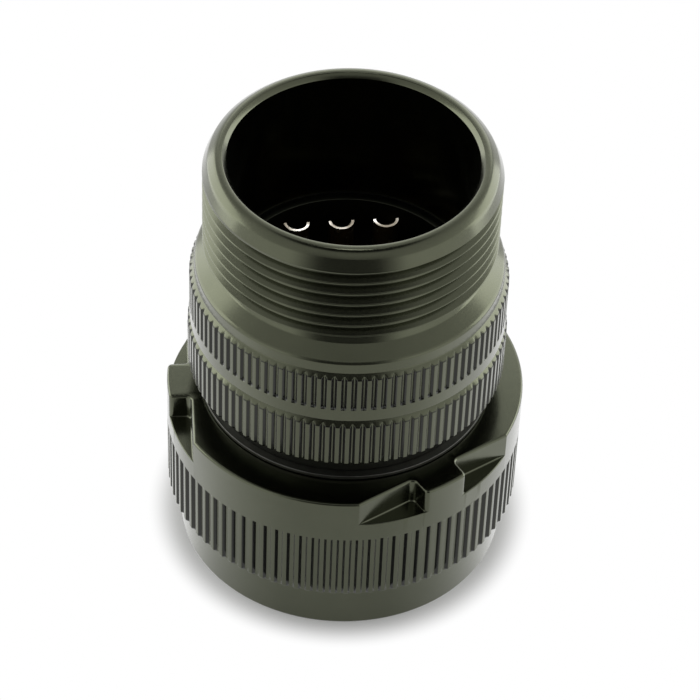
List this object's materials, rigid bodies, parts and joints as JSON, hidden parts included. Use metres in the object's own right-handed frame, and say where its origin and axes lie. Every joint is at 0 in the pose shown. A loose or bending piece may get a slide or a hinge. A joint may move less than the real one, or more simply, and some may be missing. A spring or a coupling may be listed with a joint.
{
  "type": "straight plug connector",
  "caption": "Straight circular cable plug with a loose knurled coupling nut with wrench lugs, a knurled end bell with a cable-clamp thread, and socket contacts with solder cups.",
  "frame": {"origin": "on the plug's axis, in the plane of the coupling nut's front rim, where the plug stands", "axes": "+Z along the axis from the mating end up to the cable end; the solder cups open towards +Y"},
  "size_m": [0.0376, 0.0376, 0.0503],
  "materials": {
    "nut_metal": "satin olive-grey conversion coat on turned aluminium",
    "barrel_metal": "satin olive-grey conversion coat on turned aluminium",
    "bell_metal": "satin olive-grey conversion coat on turned aluminium",
    "spring_steel": "dull phosphated spring steel",
    "insulator": "dull moulded thermoset",
    "seal_rubber": "dull rubber",
    "contact_plating": "silver plate with a warm tint on a copper alloy"
  },
  "bodies": {
    "shell": {"barrel": "barrel_metal", "end_bell": "bell_metal", "nut_retaining_ring": "spring_steel", "front_insert": "insulator", "rear_insert": "insulator", "insert_retaining_ring": "spring_steel", "mating_gasket": "seal_rubber", "bell_gasket": "seal_rubber", "contact_01": "contact_plating", "contact_02": "contact_plating", "contact_03": "contact_plating", "contact_04": "contact_plating", "contact_05": "contact_plating", "contact_06": "contact_plating", "contact_07": "contact_plating", "contact_08": "contact_plating", "contact_09": "contact_plating", "contact_10": "contact_plating", "contact_11": "contact_plating", "contact_12": "contact_plating", "contact_13": "contact_plating", "contact_14": "contact_plating", "contact_15": "contact_plating", "contact_16": "contact_plating", "contact_17": "contact_plating"},
    "nut": {"coupling_nut": "nut_metal"}
  },
  "joints": [
    {"name": "nut_spin", "type": "hinge", "parent": "shell", "child": "nut", "pos_m": [0, 0, 0.0175], "axis": [0, 0, 1], "continuous": true}
  ]
}
